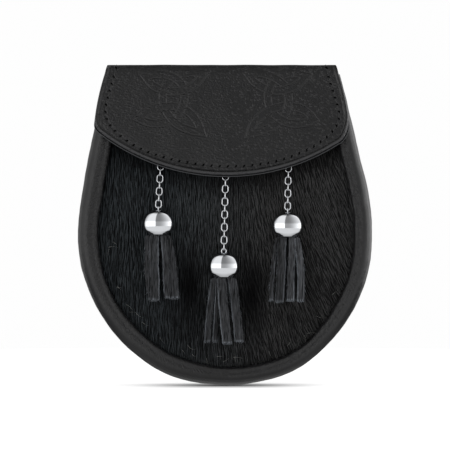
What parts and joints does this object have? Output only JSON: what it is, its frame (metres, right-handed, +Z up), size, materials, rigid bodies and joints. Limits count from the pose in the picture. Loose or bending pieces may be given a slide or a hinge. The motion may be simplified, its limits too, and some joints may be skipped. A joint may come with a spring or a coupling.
{
  "type": "sporran pouch",
  "caption": "Round-bottomed belt pouch with a fur front, a folded leather flap, chained tassels and belt loops on the back.",
  "frame": {"origin": "middle of the belt passage behind the pouch, halfway between the two belt loops", "axes": "+Z up as worn, +X to the right for someone who faces the wearer, +Y towards the wearer, so the front of the pouch faces -Y"},
  "size_m": [0.1888, 0.0518, 0.2051],
  "materials": {
    "black_leather": "smooth black leather with fine wrinkles, satin",
    "flap_leather": "black leather with a fine pebble grain and pressed knotwork, satin",
    "lining_leather": "thin black leather, matt",
    "black_fur": "short black hair combed down",
    "fringe_leather": "charcoal leather with raw cut edges, matt",
    "chrome": "bright polished plating"
  },
  "bodies": {
    "root": {"back_panel": "black_leather", "gusset": "black_leather", "fur_panel": "black_fur", "flap_lining": "lining_leather", "flap": "flap_leather", "press_stud": "chrome", "belt_loop_left": "black_leather", "belt_loop_right": "black_leather", "chain_anchor_left": "chrome", "chain_anchor_center": "chrome", "chain_anchor_right": "chrome", "chain_link_left_01": "chrome", "chain_link_left_02": "chrome", "chain_link_left_03": "chrome", "chain_link_left_04": "chrome", "chain_link_left_05": "chrome", "chain_link_left_06": "chrome", "chain_link_left_07": "chrome", "chain_link_left_08": "chrome", "chain_link_left_09": "chrome", "chain_link_center_01": "chrome", "chain_link_center_02": "chrome", "chain_link_center_03": "chrome", "chain_link_center_04": "chrome", "chain_link_center_05": "chrome", "chain_link_center_06": "chrome", "chain_link_center_07": "chrome", "chain_link_center_08": "chrome", "chain_link_center_09": "chrome", "chain_link_center_10": "chrome", "chain_link_center_11": "chrome", "chain_link_center_12": "chrome", "chain_link_center_13": "chrome", "chain_link_center_14": "chrome", "chain_link_right_01": "chrome", "chain_link_right_02": "chrome", "chain_link_right_03": "chrome", "chain_link_right_04": "chrome", "chain_link_right_05": "chrome", "chain_link_right_06": "chrome", "chain_link_right_07": "chrome", "chain_link_right_08": "chrome", "chain_link_right_09": "chrome", "tassel_cap_left": "chrome", "tassel_cap_center": "chrome", "tassel_cap_right": "chrome", "tassel_fringe_left": "fringe_leather", "tassel_fringe_center": "fringe_leather", "tassel_fringe_right": "fringe_leather"}
  },
  "joints": []
}
